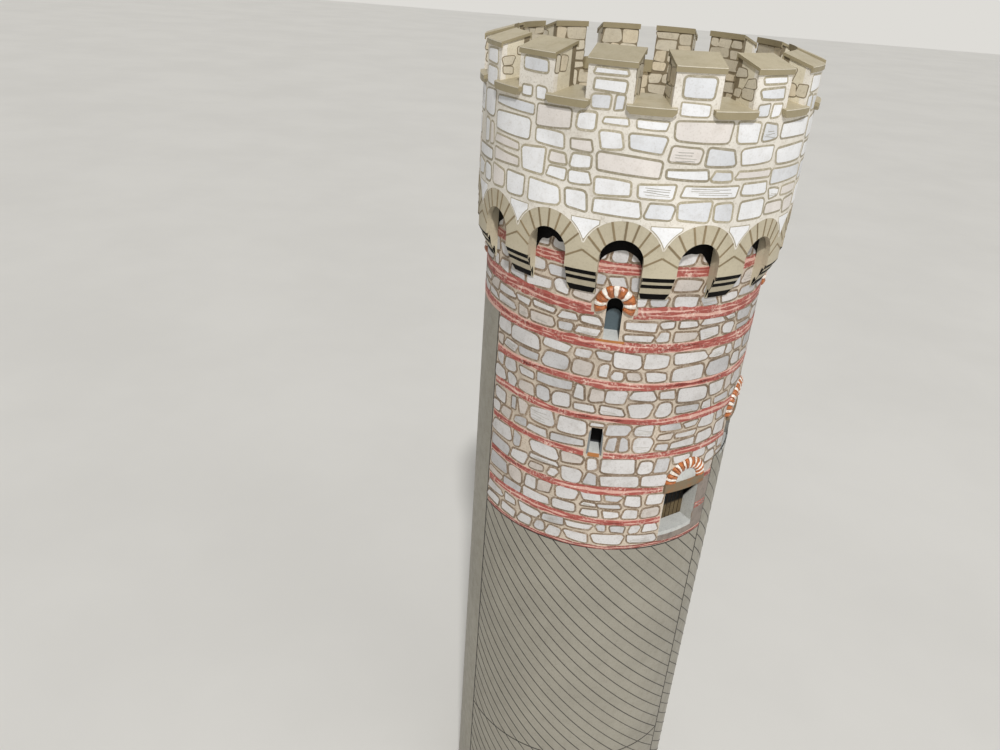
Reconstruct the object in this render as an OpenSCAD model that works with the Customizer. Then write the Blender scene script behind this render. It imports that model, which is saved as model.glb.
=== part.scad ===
// Round castle keep of a card model: a rolled card tube with a stone print, machicolation arches on
// corbels, a drum above them and a crenellated parapet with sloping caps.
// Millimetres, +Z up, origin at the middle of the foot. Angles run from the front (-Y) towards +X.

/* [Shaft] */
// Outer radius of the shaft tube
tower_r = 35; // [30:0.5:45]
// Thickness of the card that the walls are rolled from
card_t = 1.2; // [0.8:0.1:1.6]
// Height of the bare card below the stone print
bare_h = 140; // [60:1:200]
// Height of the deck's top above the lower edge of the stone print
deck_rise = 100; // [96:1:120]
// Angle where the front wall segment meets the right one
front_end = 26; // [24:1:28]
// Angle where the right wall segment meets the back one
right_end = 115; // [100:1:130]
// Angle where the back wall segment meets the left one
back_end = 225; // [200:1:240]
// Angle where the left wall segment meets the front one
left_end = 315; // [300:1:330]

/* [Machicolation] */
// Distance that the drum and its arches stand out from the shaft
drum_out = 3.2; // [2.6:0.1:5]
// Number of arches, corbels, merlons and embrasures
bays = 14; // [10:2:16]
// Width of an arch opening
arch_w = 9.6; // [7:0.1:11]
// Height of the arches' springing above the print's lower edge
spring_rise = 78.6; // [76:0.2:82]
// Depth of the ring of arch stones round an opening
ring_w = 4.1; // [2.5:0.1:5]
// Height of the band of wall over the ring of arch stones
over_arch = 1.5; // [0.5:0.1:3]
// Width of a corbel, as an angle
corbel_deg = 10.6; // [7:0.1:11]
// Height of the corbel's bend above the print's lower edge
bend_rise = 75.6; // [74:0.2:76]
// Height of the corbel's sloping nose
nose_h = 5.9; // [3:0.1:8]
// Depth of the corbel's foot in front of the shaft
foot_d = 0.4; // [0.2:0.1:1]
// Clearance between the arch crowns and the black soffit above them
soffit_gap = 1.4; // [0.5:0.1:3]

/* [Parapet] */
// Turn of the merlons against the corbels, as an angle
parapet_turn = 2.9; // [0:0.1:5]
// Height of the embrasures' bottom above the deck
sill_bottom = 9; // [5:0.1:12]
// Height of the merlons' outer face above the embrasures' bottom
merlon_h = 9; // [6:0.1:14]
// Width of a merlon
merlon_w = 9.6; // [8:0.1:11]
// Width of the parapet from its inner to its outer face
parapet_w = 6; // [5:0.1:8]
// Thickness of a merlon's cheek
cheek_t = 0.8; // [0.5:0.1:1.2]
// Thickness of a merlon's cap
cap_t = 0.6; // [0.4:0.1:1]
// Height of the lip that a cap folds down over the merlon's faces
cap_lip = 0.7; // [0.3:0.1:1.5]
// Rise of a cap from its outer to its inner edge
cap_rise = 2.1; // [0.5:0.1:4]
// Overhang of a cap past the walls below it
cap_over = 0.3; // [0.2:0.1:0.8]
// Height of an embrasure sill's lip
lip_h = 1.6; // [1:0.1:3]
// Depth of the lip in front of the drum
lip_d = 0.9; // [0.3:0.1:1.5]
// Width that the lip runs past the embrasure on each side
lip_past = 1.2; // [0.8:0.1:1.8]
// Size of the corners cut off below the lip's ends
lip_cut = 0.8; // [0.2:0.1:0.8]
// Rise of a sill from its outer to its inner edge
sill_rise = 1.5; // [0.5:0.1:3]

/* [Small windows] */
// Number of small arched windows round the shaft
window_count = 4; // [1:1:4]
// Width of a small window's opening
window_w = 3.6; // [2:0.1:3.7]
// Height of a small window's opening
window_h = 10.3; // [8:0.1:12]
// Height of its foot above the print's lower edge
window_rise = 58.9; // [54:0.1:62]
// Depth of the window's recess behind the shaft's face
window_d = 3.4; // [2.5:0.1:5]
// Thickness of the card that lines the recesses
liner_t = 0.6; // [0.4:0.1:1]
// Inner radius of the moulding over the window
window_ring_ri = 1.9; // [1.9:0.1:2.5]
// Width of the moulding over the window
window_ring_w = 2.8; // [1.5:0.1:3.5]
// Angle that this moulding runs below level on each side
window_ring_low = 26; // [0:1:40]
// Number of painted blocks in it
window_blocks = 11; // [7:2:15]
// Height of the window's sloping sill at the back
window_sill_h = 1.2; // [0.6:0.1:2]
// Height of the panel above that sill
panel_h = 5.2; // [3:0.1:6]
// Height of the mouldings in front of the shaft
moulding_h = 1.1; // [0.5:0.1:1.5]
// Gap between two blocks of a moulding
block_gap = 0.12; // [0.06:0.02:0.2]
// Height of a sloping sill's front edge
sill_lip = 0.2; // [0.1:0.1:0.5]

/* [Slot window] */
// Angle of the slot window
slot_deg = -0.4; // [-8:0.1:8]
// Width of the slot
slot_w = 2.7; // [2:0.1:4]
// Height of the slot
slot_h = 7; // [5:0.1:9]
// Height of its foot above the print's lower edge
slot_rise = 28.6; // [24:0.1:34]
// Depth of the slot's recess
slot_d = 3.4; // [2:0.1:4]
// Height of the slot's sloping sill at the back
slot_sill_h = 1.1; // [0.6:0.1:2]

/* [Entrance door] */
// Angle of the entrance door
door_deg = 42; // [41:0.5:44]
// Width of the door's opening
door_w = 11.4; // [9:0.1:12]
// Height of the door's opening
door_h = 14; // [12:0.1:15]
// Height of its foot above the print's lower edge
door_rise = 2.9; // [1:0.1:4]
// Depth of the door's recess in front of the leaf
door_d = 4.6; // [3.5:0.1:6]
// Thickness of the door leaves
leaf_t = 0.8; // [0.5:0.1:1.5]
// Height of the door's sill
door_sill_h = 1.2; // [0.8:0.1:2]
// Width that a lintel runs past the opening on each side
lintel_past = 0.9; // [0.5:0.1:1]
// Height of the entrance door's lintel
lintel_h = 2.5; // [1.5:0.1:3]
// Thickness of the lintels in front of the shaft
lintel_t = 0.7; // [0.4:0.1:1]
// Inner radius of the moulding over the door
door_ring_ri = 3.3; // [2.5:0.1:4]
// Width of the mouldings over both doors
door_ring_w = 3.2; // [2:0.1:3.5]
// Number of painted blocks in the moulding over the door
door_blocks = 19; // [15:2:21]
// Thickness of the field inside a door's moulding
field_t = 0.3; // [0.2:0.1:0.5]

/* [Wall-walk door] */
// Angle of the door that opens to the wall-walk
walk_deg = 76.5; // [75:0.5:78]
// Width of its opening
walk_w = 11.4; // [9:0.1:12]
// Height of its opening
walk_h = 11.6; // [10:0.1:12]
// Height of its foot above the print's lower edge
walk_rise = 20; // [19:0.1:22]
// Depth of its recess in front of the leaf
walk_d = 4.4; // [3.5:0.1:6]
// Height of its sill
walk_sill_h = 1.2; // [0.8:0.1:2]
// Height of its lintel
walk_lintel_h = 1.5; // [1:0.1:2.5]
// Inner radius of the moulding over it
walk_ring_ri = 4.9; // [3.5:0.1:5]
// Number of painted blocks in that moulding
walk_blocks = 23; // [17:2:25]

/* [Hidden] */

$fn = 96;
full_turn = 360;

tower_ri = tower_r - card_t;
drum_r = tower_r + drum_out;
drum_ri = drum_r - card_t;
parapet_ri = drum_r - parapet_w;
parapet_ro = parapet_ri + card_t;

deck_z = bare_h + deck_rise;
deck_bottom = deck_z - card_t;
bend_z = bare_h + bend_rise;
spring_z = bare_h + spring_rise;
crown_z = spring_z + arch_w / 2;
arcade_top = crown_z + ring_w + over_arch;
soffit_z = crown_z + soffit_gap;
corbel_foot = bend_z - nose_h;
notch_z = deck_z + sill_bottom;
merlon_top = notch_z + merlon_h;

pitch = full_turn / bays;
front_bay = -floor((bays / 2 - 1) / 2);
first_merlon = pitch / 2 + parapet_turn;
cap_ri = parapet_ri - cap_over;
cap_ro = drum_r + cap_over;
cap_slope = cap_rise / (cap_ro - cap_ri);
gap_half = drum_r * sin(pitch / 2 - asin(merlon_w / 2 / drum_r));
lip_half = gap_half + lip_past;
cut_past = 6;
drum_quarter = full_turn / 4;

window_z = bare_h + window_rise;
window_ring_z = window_z + window_h - window_w / 2;
slot_z = bare_h + slot_rise;
door_z = bare_h + door_rise;
door_top = door_z + door_h;
door_ring_z = door_top + lintel_h;
walk_z = bare_h + walk_rise;
walk_top = walk_z + walk_h;
walk_ring_z = walk_top + walk_lintel_h;

bead_turns = 2;
bead_sides = 6;
bead_points = 2 * bead_sides;
bead_end = 0.8;

// Sector of a ring whose section is drawn as radius and height, from angle a0 to a1
module sector(a0, a1) {
    rotate([0, 0, a0 - 90])
        rotate_extrude(angle = a1 - a0)
            children();
}

// Section of a plain wall between two radii and two heights
module wall_section(ri, ro, z0, z1) {
    translate([ri, z0])
        square([ro - ri, z1 - z0]);
}

// Sector of a plain wall
module wall(ri, ro, z0, z1, a0, a1) {
    sector(a0, a1) wall_section(ri, ro, z0, z1);
}

// Outline drawn as seen from outside, pushed out from the depth r0 to the distance r1 at angle deg
module facing(deg, z, r0, r1) {
    rotate([0, 0, deg])
        translate([0, -r0, z])
            rotate([90, 0, 0])
                linear_extrude(r1 - r0)
                    children();
}

// Outline laid on the shaft's face as a raised trim of the thickness t
module on_shaft(deg, z, t) {
    intersection() {
        difference() {
            translate([0, 0, z - tower_r]) cylinder(r = tower_r + t, h = 2 * tower_r);
            translate([0, 0, z - tower_r - 1]) cylinder(r = tower_r, h = 2 * tower_r + 2);
        }
        facing(deg, z, tower_r / 2, tower_r + cut_past) children();
    }
}

// Outline of a round-headed opening that stands on zero
module arch_outline(w, h) {
    union() {
        translate([-w / 2, 0]) square([w, h - w / 2]);
        translate([0, h - w / 2]) circle(w / 2);
    }
}

// Outline of a flat-headed opening that stands on zero
module flat_outline(w, h) {
    translate([-w / 2, 0]) square([w, h]);
}

// Point on the shaft's face: x round the face, y up it, and out from it by the height h
function on_face(x, y, h) =
    let (a = x / tower_r * full_turn / (2 * PI))
    [(tower_r + h) * sin(a), -(tower_r + h) * cos(a), y];

// Point k of ring i of a block: the first half of a ring crosses its round face, the rest its back
function bead_point(ri, ro, a0, a1, i, k) =
    let (a = a0 + (a1 - a0) * i / bead_turns,
         t = full_turn / 2 * min(k, bead_points - k) / bead_sides,
         r = (ri + ro) / 2 - cos(t) * (ro - ri) / 2,
         swell = 1 - (1 - bead_end) * abs(2 * i / bead_turns - 1),
         h = k <= bead_sides ? moulding_h * swell * sin(t) : 0)
    on_face(r * cos(a), r * sin(a), h);

// One half-round block of a moulding that lies on the round shaft, between the angles a0 and a1
module bead(ri, ro, a0, a1) {
    points = [for (i = [0:bead_turns], k = [0:bead_points - 1]) bead_point(ri, ro, a0, a1, i, k)];
    skin = [for (i = [0:bead_turns - 1], k = [0:bead_points - 1])
        let (p = i * bead_points, q = p + bead_points, n = (k + 1) % bead_points)
        each [[p + k, q + k, q + n], [p + k, q + n, p + n]]];
    end = [for (k = [0:bead_sides - 1])
        let (m = (bead_points - k) % bead_points, n = bead_points - k - 1)
        each concat(k > 0 ? [[k, n, m]] : [], k < bead_sides - 1 ? [[k, k + 1, n]] : [])];
    start_cap = [for (f = end) [f[0], f[1], f[2]]];
    end_cap = [for (f = end) [f[0], f[2], f[1]] + bead_turns * bead_points * [1, 1, 1]];
    polyhedron(points, concat(skin, start_cap, end_cap));
}

// Arched moulding of painted blocks, from the angle low below level on each side
module moulding(deg, z, ri, w, low, blocks) {
    step = (full_turn / 2 + 2 * low) / blocks;
    gap = block_gap / (ri + w / 2) * full_turn / (4 * PI);
    rotate([0, 0, deg])
        translate([0, 0, z])
            for (i = [0:blocks - 1])
                bead(ri, ri + w, i * step - low + gap, (i + 1) * step - low - gap);
}

// Half disc that stands on zero
module half_disc(r) {
    intersection() {
        circle(r);
        translate([-r, 0]) square([2 * r, r]);
    }
}

// Every small window's place
module each_window() {
    for (i = [0:window_count - 1])
        rotate([0, 0, i * full_turn / window_count])
            children();
}

// Sill in a recess, flat on a box or sloping down from the height back to the height front
module recess_sill(deg, z, w, depth, front, back) {
    sill_foot = depth - tower_r;
    intersection() {
        rotate([0, 0, deg])
            translate([-w / 2, 0, z])
                rotate([90, 0, 90])
                    linear_extrude(w)
                        polygon([[sill_foot, 0], [sill_foot, back], [-tower_r, front], [-tower_r, 0]]);
        translate([0, 0, z]) cylinder(r = tower_r, h = back);
    }
}

// Recess behind an opening: child 0 is the opening's outline, child 1 the outline of the box round it
module recess_box(deg, z, depth) {
    intersection() {
        difference() {
            facing(deg, z, tower_r - depth - liner_t, tower_r) children(1);
            facing(deg, z, tower_r - depth, tower_r + cut_past) children(0);
        }
        translate([0, 0, z - tower_r]) cylinder(r = tower_ri, h = 2 * tower_r);
    }
}

module window_cuts() {
    each_window() facing(0, window_z, tower_r / 2, tower_r + cut_past) arch_outline(window_w, window_h);
}

module slot_cut() {
    facing(slot_deg, slot_z, tower_r / 2, tower_r + cut_past) flat_outline(slot_w, slot_h);
}

module door_cut() {
    facing(door_deg, door_z, tower_r / 2, tower_r + cut_past) flat_outline(door_w, door_h);
}

module walk_door_cut() {
    facing(walk_deg, walk_z, tower_r / 2, tower_r + cut_past) flat_outline(walk_w, walk_h);
}

// Bare card below the stone print
module lower_wall(a0, a1) {
    color("darkkhaki") wall(tower_ri, tower_r, 0, bare_h, a0, a1);
}

// Stone-printed card with its windows and doors cut through
module upper_wall(a0, a1) {
    color("linen")
        difference() {
            wall(tower_ri, tower_r, bare_h, deck_bottom, a0, a1);
            window_cuts();
            slot_cut();
            door_cut();
            walk_door_cut();
        }
}

module lower_wall_front() { lower_wall(left_end - full_turn, front_end); }
module lower_wall_right() { lower_wall(front_end, right_end); }
module lower_wall_back() { lower_wall(right_end, back_end); }
module lower_wall_left() { lower_wall(back_end, left_end); }
module upper_wall_front() { upper_wall(left_end - full_turn, front_end); }
module upper_wall_right() { upper_wall(front_end, right_end); }
module upper_wall_back() { upper_wall(right_end, back_end); }
module upper_wall_left() { upper_wall(back_end, left_end); }

module window_boxes() {
    color("dimgray")
        each_window()
            recess_box(0, window_z, window_d + liner_t) {
                arch_outline(window_w, window_h);
                translate([0, -liner_t]) arch_outline(window_w + 2 * liner_t, window_h + 2 * liner_t);
            }
}

module window_sills() {
    color("gainsboro")
        each_window() recess_sill(0, window_z, window_w, window_d, sill_lip, window_sill_h);
}

// Panel at the back of the recess, with a round head
module window_panels() {
    color("slategray")
        each_window()
            facing(0, window_z, tower_r - window_d - liner_t, tower_r - window_d)
                arch_outline(window_w, window_sill_h + panel_h);
}

module window_trims() {
    color("peru")
        each_window()
            moulding(0, window_ring_z, window_ring_ri, window_ring_w, window_ring_low, window_blocks);
}

module slot_box() {
    color("dimgray")
        recess_box(slot_deg, slot_z, slot_d) {
            flat_outline(slot_w, slot_h);
            translate([0, -liner_t]) flat_outline(slot_w + 2 * liner_t, slot_h + 2 * liner_t);
        }
}

module slot_sill() {
    color("gainsboro") recess_sill(slot_deg, slot_z, slot_w, slot_d, sill_lip, slot_sill_h);
}

module door_box() {
    color("dimgray")
        recess_box(door_deg, door_z, door_d + leaf_t) {
            flat_outline(door_w, door_h);
            translate([0, -liner_t]) flat_outline(door_w + 2 * liner_t, door_h + 2 * liner_t);
        }
}

module door_leaf() {
    color("saddlebrown")
        facing(door_deg, door_z, tower_r - door_d - leaf_t, tower_r - door_d) flat_outline(door_w, door_h);
}

module door_sill() {
    color("gainsboro") recess_sill(door_deg, door_z, door_w, door_d, door_sill_h, door_sill_h);
}

module door_lintel() {
    color("rosybrown")
        on_shaft(door_deg, door_top, lintel_t) flat_outline(door_w + 2 * lintel_past, lintel_h);
}

// Flat field over the lintel, inside the moulding
module door_tympanum() {
    color("gainsboro") on_shaft(door_deg, door_ring_z, field_t) half_disc(door_ring_ri);
}

module door_trim() {
    color("peru") moulding(door_deg, door_ring_z, door_ring_ri, door_ring_w, 0, door_blocks);
}

module walk_door_box() {
    color("dimgray")
        recess_box(walk_deg, walk_z, walk_d + leaf_t) {
            flat_outline(walk_w, walk_h);
            translate([0, -liner_t]) flat_outline(walk_w + 2 * liner_t, walk_h + 2 * liner_t);
        }
}

module walk_door_leaf() {
    color("saddlebrown")
        facing(walk_deg, walk_z, tower_r - walk_d - leaf_t, tower_r - walk_d) flat_outline(walk_w, walk_h);
}

module walk_door_sill() {
    color("gainsboro") recess_sill(walk_deg, walk_z, walk_w, walk_d, walk_sill_h, walk_sill_h);
}

module walk_door_lintel() {
    color("rosybrown")
        on_shaft(walk_deg, walk_top, lintel_t) flat_outline(walk_w + 2 * lintel_past, walk_lintel_h);
}

module walk_door_tympanum() {
    color("gainsboro") on_shaft(walk_deg, walk_ring_z, field_t) half_disc(walk_ring_ri);
}

module walk_door_trim() {
    color("peru") moulding(walk_deg, walk_ring_z, walk_ring_ri, door_ring_w, 0, walk_blocks);
}

// Drum card over the corbels with its arches cut through, from bay first to bay last
module arcade(first, last) {
    color("tan")
        difference() {
            wall(drum_ri, drum_r, bend_z, arcade_top, (first - 0.5) * pitch, (last + 0.5) * pitch);
            for (i = [first:last])
                facing(i * pitch, bend_z - cut_past, tower_r, drum_r + cut_past)
                    arch_outline(arch_w, crown_z - bend_z + cut_past);
        }
}

module arcade_front() { arcade(front_bay, front_bay + bays / 2 - 1); }
module arcade_back() { arcade(front_bay + bays / 2, front_bay + bays - 1); }

module soffit_ring() {
    color("black") wall(tower_r, drum_ri, soffit_z, soffit_z + card_t, 0, full_turn);
}

// Corbels: a block between the shaft and the drum card, and a sloping nose under the card
module corbels() {
    color("tan")
        for (i = [0:bays - 1])
            sector((i + 0.5) * pitch - corbel_deg / 2, (i + 0.5) * pitch + corbel_deg / 2)
                polygon([[tower_r, corbel_foot], [tower_r + foot_d, corbel_foot], [drum_r, bend_z],
                         [drum_ri, bend_z], [drum_ri, soffit_z], [tower_r, soffit_z]]);
}

module drum_wall(quarter) {
    color("linen")
        wall(drum_ri, drum_r, arcade_top, notch_z,
             (quarter - 0.5) * drum_quarter, (quarter + 0.5) * drum_quarter);
}

module drum_wall_front() { drum_wall(0); }
module drum_wall_right() { drum_wall(1); }
module drum_wall_back() { drum_wall(2); }
module drum_wall_left() { drum_wall(3); }

module deck() {
    color("tan") translate([0, 0, deck_bottom]) cylinder(r = drum_ri, h = card_t);
}

module inner_wall(quarter) {
    color("burlywood")
        wall(parapet_ri, parapet_ro, deck_z, notch_z,
             (quarter - 0.5) * drum_quarter, (quarter + 0.5) * drum_quarter);
}

module inner_wall_front() { inner_wall(0); }
module inner_wall_right() { inner_wall(1); }
module inner_wall_back() { inner_wall(2); }
module inner_wall_left() { inner_wall(3); }

// Height of the underside of a cap at the radius r
function cap_under(r) = merlon_top + (drum_r - r) * cap_slope;

// Ring section cut to a parallel-sided block between x0 and x1 across a merlon's middle
module merlon_block(x0, x1) {
    intersection() {
        sector(-pitch / 2, pitch / 2) children();
        translate([x0, -cap_ro - cut_past, deck_z])
            cube([x1 - x0, cap_ro, merlon_top - deck_z + cut_past]);
    }
}

// Turns its children to every merlon
module each_merlon() {
    for (i = [0:bays - 1])
        rotate([0, 0, first_merlon + i * pitch])
            children();
}

// Section of a merlon between two radii, under the sloping cap
module merlon_section(ri, ro) {
    polygon([[ri, notch_z], [ro, notch_z], [ro, cap_under(ro)], [ri, cap_under(ri)]]);
}

module merlon_fronts() {
    color("linen") each_merlon()
        merlon_block(-merlon_w / 2, merlon_w / 2) merlon_section(drum_ri, drum_r);
}

module merlon_backs() {
    color("burlywood") each_merlon()
        merlon_block(-merlon_w / 2, merlon_w / 2) merlon_section(parapet_ri, parapet_ro);
}

// Cheeks: flat walls across the parapet at both ends of every merlon
module merlon_cheeks() {
    color("burlywood") each_merlon()
        for (x = [-merlon_w / 2, merlon_w / 2 - cheek_t])
            merlon_block(x, x + cheek_t) merlon_section(parapet_ro, drum_ri);
}

// Caps slope down to the outside and fold over the merlon's two faces
module merlon_caps() {
    color("darkkhaki") each_merlon()
        merlon_block(-merlon_w / 2 - cap_over, merlon_w / 2 + cap_over)
            polygon([[parapet_ri, cap_under(parapet_ri)], [drum_r, merlon_top],
                     [drum_r, merlon_top - cap_lip], [cap_ro, merlon_top - cap_lip],
                     [cap_ro, cap_under(cap_ro) + cap_t], [cap_ri, cap_under(cap_ri) + cap_t],
                     [cap_ri, cap_under(cap_ri) - cap_lip], [parapet_ri, cap_under(cap_ri) - cap_lip]]);
}

// Sills fill the embrasures and slope down to a lip in front of the drum
module embrasure_sills() {
    sill_ri = parapet_ri - lip_d;
    sill_ro = drum_r + lip_d;
    color("darkkhaki")
        for (i = [0:bays - 1])
            rotate([0, 0, first_merlon + (i + 0.5) * pitch])
                difference() {
                    intersection() {
                        sector(-pitch / 2, pitch / 2)
                            polygon([[sill_ri, notch_z], [sill_ro, notch_z], [sill_ro, notch_z + lip_h],
                                     [sill_ri, notch_z + lip_h + sill_rise]]);
                        facing(0, notch_z, sill_ri / 2, sill_ro + cut_past)
                            polygon([[-lip_half, lip_cut], [lip_cut - lip_half, 0], [lip_half - lip_cut, 0],
                                     [lip_half, lip_cut], [lip_half, cut_past], [-lip_half, cut_past]]);
                    }
                    for (side = [-1, 1])
                        rotate([0, 0, side * pitch / 2])
                            merlon_block(-merlon_w / 2, merlon_w / 2)
                                wall_section(sill_ri / 2, drum_r, deck_z, notch_z + 2 * cut_past);
                }
}

lower_wall_front();
lower_wall_right();
lower_wall_back();
lower_wall_left();
upper_wall_front();
upper_wall_right();
upper_wall_back();
upper_wall_left();
window_boxes();
window_sills();
window_panels();
window_trims();
slot_box();
slot_sill();
door_box();
door_leaf();
door_sill();
door_lintel();
door_tympanum();
door_trim();
walk_door_box();
walk_door_leaf();
walk_door_sill();
walk_door_lintel();
walk_door_tympanum();
walk_door_trim();
arcade_front();
arcade_back();
soffit_ring();
corbels();
drum_wall_front();
drum_wall_right();
drum_wall_back();
drum_wall_left();
deck();
inner_wall_front();
inner_wall_right();
inner_wall_back();
inner_wall_left();
merlon_fronts();
merlon_backs();
merlon_cheeks();
merlon_caps();
embrasure_sills();
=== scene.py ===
"""Looks of the round castle keep, a card model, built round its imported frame.

The card is printed flat, so the print is laid on it as thin closed plates: stones with their outlines,
red courses, joints of the arches, stripes of the corbels and the hatching of the bare card.
Plates are drawn in millimetres as (x round the wall, z up it) and wrapped on the wall they lie on.
Angles run from the front (-Y) towards +X.
"""

import random

from collections import namedtuple
from math import asin, atan2, ceil, cos, hypot, pi, radians, sin, sqrt

import bpy
from mathutils import Matrix, Vector


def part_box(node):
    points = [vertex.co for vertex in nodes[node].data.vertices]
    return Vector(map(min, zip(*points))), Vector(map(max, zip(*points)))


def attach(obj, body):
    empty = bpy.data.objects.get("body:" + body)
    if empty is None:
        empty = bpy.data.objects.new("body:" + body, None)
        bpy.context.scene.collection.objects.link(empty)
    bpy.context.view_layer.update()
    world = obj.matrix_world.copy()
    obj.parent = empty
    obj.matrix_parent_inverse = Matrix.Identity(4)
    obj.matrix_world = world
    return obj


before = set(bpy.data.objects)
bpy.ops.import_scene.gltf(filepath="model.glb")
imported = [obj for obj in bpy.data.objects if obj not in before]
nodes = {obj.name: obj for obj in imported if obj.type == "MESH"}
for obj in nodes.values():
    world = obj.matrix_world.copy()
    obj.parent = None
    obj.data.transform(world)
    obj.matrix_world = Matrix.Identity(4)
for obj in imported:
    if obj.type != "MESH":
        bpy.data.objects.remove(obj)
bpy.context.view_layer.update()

MM = 0.001
UP = Vector((0, 0, 1))
rng = random.Random(11)

# Sizes, read from the frame in mm


def heights(node):
    """Lowest and highest z of a CAD node."""
    lo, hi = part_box(node)
    return lo.z / MM, hi.z / MM


def radii(node):
    """Smallest and largest distance of a CAD node's corners from the tower's axis."""
    r = [hypot(v.co.x, v.co.y) / MM for v in nodes[node].data.vertices]
    return min(r), max(r)


def middle(node):
    """Middle of a CAD node's box."""
    lo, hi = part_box(node)
    return (lo + hi) / 2


def bearing(node):
    """Angle of a CAD node's middle round the axis."""
    mid = middle(node)
    return atan2(mid.x, -mid.y)


SHAFT_R = radii("lower_wall_front")[1]
PRINT_Z = heights("lower_wall_front")[1]
DRUM_R = radii("drum_wall_front")[1]
DRUM_Z, NOTCH_Z = heights("drum_wall_front")
BEND_Z = heights("arcade_front")[0]
SOFFIT_Z = heights("soffit_ring")[0]
FOOT_Z = heights("corbels")[0]
INNER_R = radii("inner_wall_front")[0]
DECK_Z = heights("deck")[1]
CAP_TOP = heights("merlon_caps")[1]
LIP_R = radii("embrasure_sills")[1]
LEAF_R = hypot(*middle("door_leaf")[:2]) / MM
HALF_TURN, DRUM_TURN, INNER_TURN = (pi * r for r in (SHAFT_R, DRUM_R, INNER_R))

# Sizes of the card, arches, merlons and openings, as in the CAD source
CARD_T, DOOR_SILL_H = 1.2, 1.2
BAYS = 14
PITCH = 2 * pi / BAYS
ARCH_R, RING_W, OVER_ARCH = 4.8, 4.1, 1.5
CORBEL_HALF, FIRST_GAP = radians(5.3), radians(2.9)
FOOT_D = 0.4
MERLON_HALF, MERLON_H = 4.8, 9.0
CAP_OVER, CAP_LIP, CAP_RISE = 0.3, 0.7, 2.1
LIP_H, LIP_PAST, SILL_RISE = 1.6, 1.2, 1.5
SPRING_Z = DRUM_Z - OVER_ARCH - RING_W - ARCH_R
RING_R = ARCH_R + RING_W
CAP_FOOT = NOTCH_Z + MERLON_H - CAP_LIP
GAP_HALF = PITCH / 2 - asin(MERLON_HALF / DRUM_R)
LIP_HALF = asin((DRUM_R * sin(GAP_HALF) + LIP_PAST) / LIP_R)

WINDOW_Z, WINDOW_TOP, WINDOW_HALF = PRINT_Z + 58.9, PRINT_Z + 69.2, 1.8
WINDOW_RING_Z, WINDOW_RING_R = WINDOW_TOP - WINDOW_HALF, 4.7
SLOT_Z, SLOT_TOP, SLOT_HALF = PRINT_Z + 28.6, PRINT_Z + 35.6, 1.35
DOOR_Z, DOOR_TOP, DOOR_HALF = PRINT_Z + 2.9, PRINT_Z + 16.9, 5.7
DOOR_RING_Z, DOOR_RING_R = PRINT_Z + 19.4, 6.5
WALK_Z, WALK_TOP, WALK_HALF = PRINT_Z + 20.0, PRINT_Z + 31.6, 5.7
WALK_RING_Z, WALK_RING_R = PRINT_Z + 33.1, 8.1
SLOT_A = bearing("slot_sill")
DOOR_A = bearing("door_leaf")
WALK_A = bearing("walk_door_leaf")
WINDOW_AS = [0, pi / 2, pi, -pi / 2]

# Places round the drum: arches, the piers between them, and embrasures
bay_as = [(i - BAYS // 2 + 1) * PITCH for i in range(BAYS)]
gap_as = [FIRST_GAP + i * PITCH for i in range(-BAYS // 2, BAYS // 2)]
PIER_REACH = PITCH * DRUM_R / 2
bay_xs = [a * DRUM_R for a in bay_as]
pier_xs = [x - PIER_REACH for x in bay_xs]

# Heights over the wall: the bottom of most print, and the top of each layer
SUNK = -0.05
SPANDREL_H, STRIP_H, OUTLINE_H, STRIPE_H, LINE_H = 0.025, 0.04, 0.05, 0.06, 0.07
FILL_H, WASH_H, SURROUND_H, BAND_H, SCRIBBLE_H = 0.09, 0.095, 0.1, 0.12, 0.12
SHADE_H, LEDGE_H = 0.14, 0.16

# Longest step along a curved plate, and the gap that keeps two plates apart
STEP = 1.6
HAIR = 0.01

# Surfaces that print lies on


def outward(angle):
    """Direction away from the axis."""
    return Vector((sin(angle), -cos(angle), 0))


def along(angle):
    """Direction to the right round the wall, seen from outside."""
    return Vector((cos(angle), sin(angle), 0))


def on_cylinder(radius, side=1):
    """Outside of a round wall, or its inside where side is -1: x runs to the viewer's right."""
    def place(x, z, h):
        a, r = side * x / radius, radius + side * h
        return (r * sin(a), -r * cos(a), z)
    return place


def on_cone(r0, z0, r1, z1):
    """Sloping face below a bend at (r0, z0): z is negative and runs down the slope to (r1, z1)."""
    length = hypot(r0 - r1, z0 - z1)
    dr, dz = (r0 - r1) / length, (z0 - z1) / length

    def place(x, z, h):
        a, r = x / r0, r0 + z * dr + h * dz
        return (r * sin(a), -r * cos(a), z0 + z * dz - h * dr)
    return place


def on_plane(origin, across, up):
    """Flat face: x along across and z along up, from the origin."""
    out = across.cross(up)

    def place(x, z, h):
        return tuple(origin + across * x + up * z + out * h)
    return place


shaft = on_cylinder(SHAFT_R)
drum = on_cylinder(DRUM_R)

# Plates


def new_object(name, data):
    """Adds an object with this data to the scene."""
    obj = bpy.data.objects.new(name, data)
    bpy.context.scene.collection.objects.link(obj)
    return obj


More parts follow.
